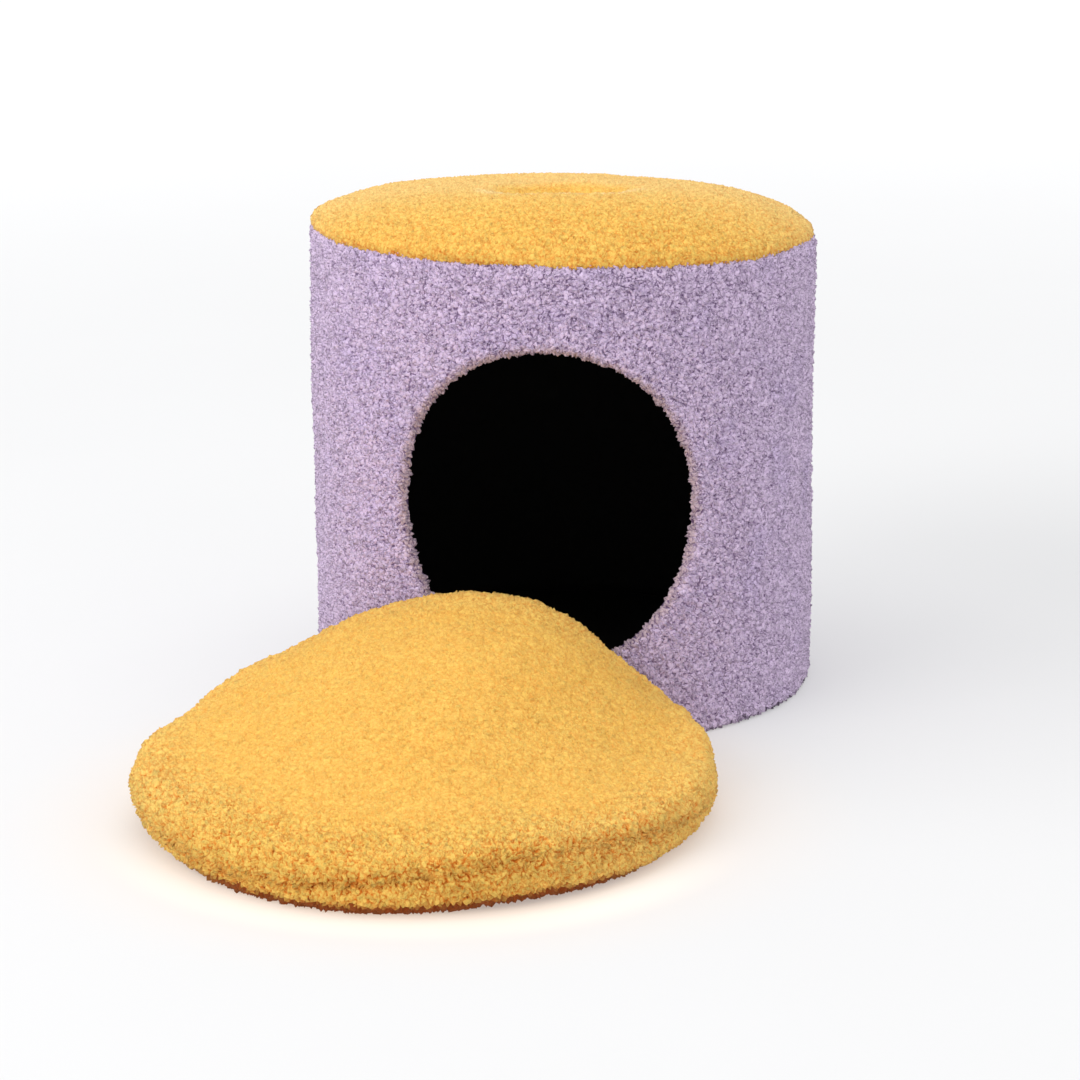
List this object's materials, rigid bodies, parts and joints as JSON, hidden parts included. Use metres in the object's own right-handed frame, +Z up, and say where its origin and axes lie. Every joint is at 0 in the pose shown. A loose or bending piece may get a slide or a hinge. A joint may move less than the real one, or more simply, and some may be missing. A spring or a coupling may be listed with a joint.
{
  "type": "cat bed with loose cushion",
  "caption": "Round upholstered pet den with a crowned top pad, a round doorway and a loose filled cushion propped against its front.",
  "frame": {"origin": "centre of the flat underside of the den's base", "axes": "+Z up, -Y out through the doorway, +X to the right of a viewer who faces the doorway"},
  "size_m": [0.488, 0.7599, 0.4067],
  "materials": {
    "lilac_fleece": "matt curly fleece",
    "yellow_fleece": "matt curly fleece",
    "black_lining": "matt woven cloth"
  },
  "bodies": {
    "root": {"wall_cover": "lilac_fleece", "top_pad": "yellow_fleece", "lining_wall": "black_lining", "lining_ceiling": "black_lining", "lining_floor": "black_lining", "base_panel": "black_lining", "cushion": "yellow_fleece"}
  },
  "joints": []
}
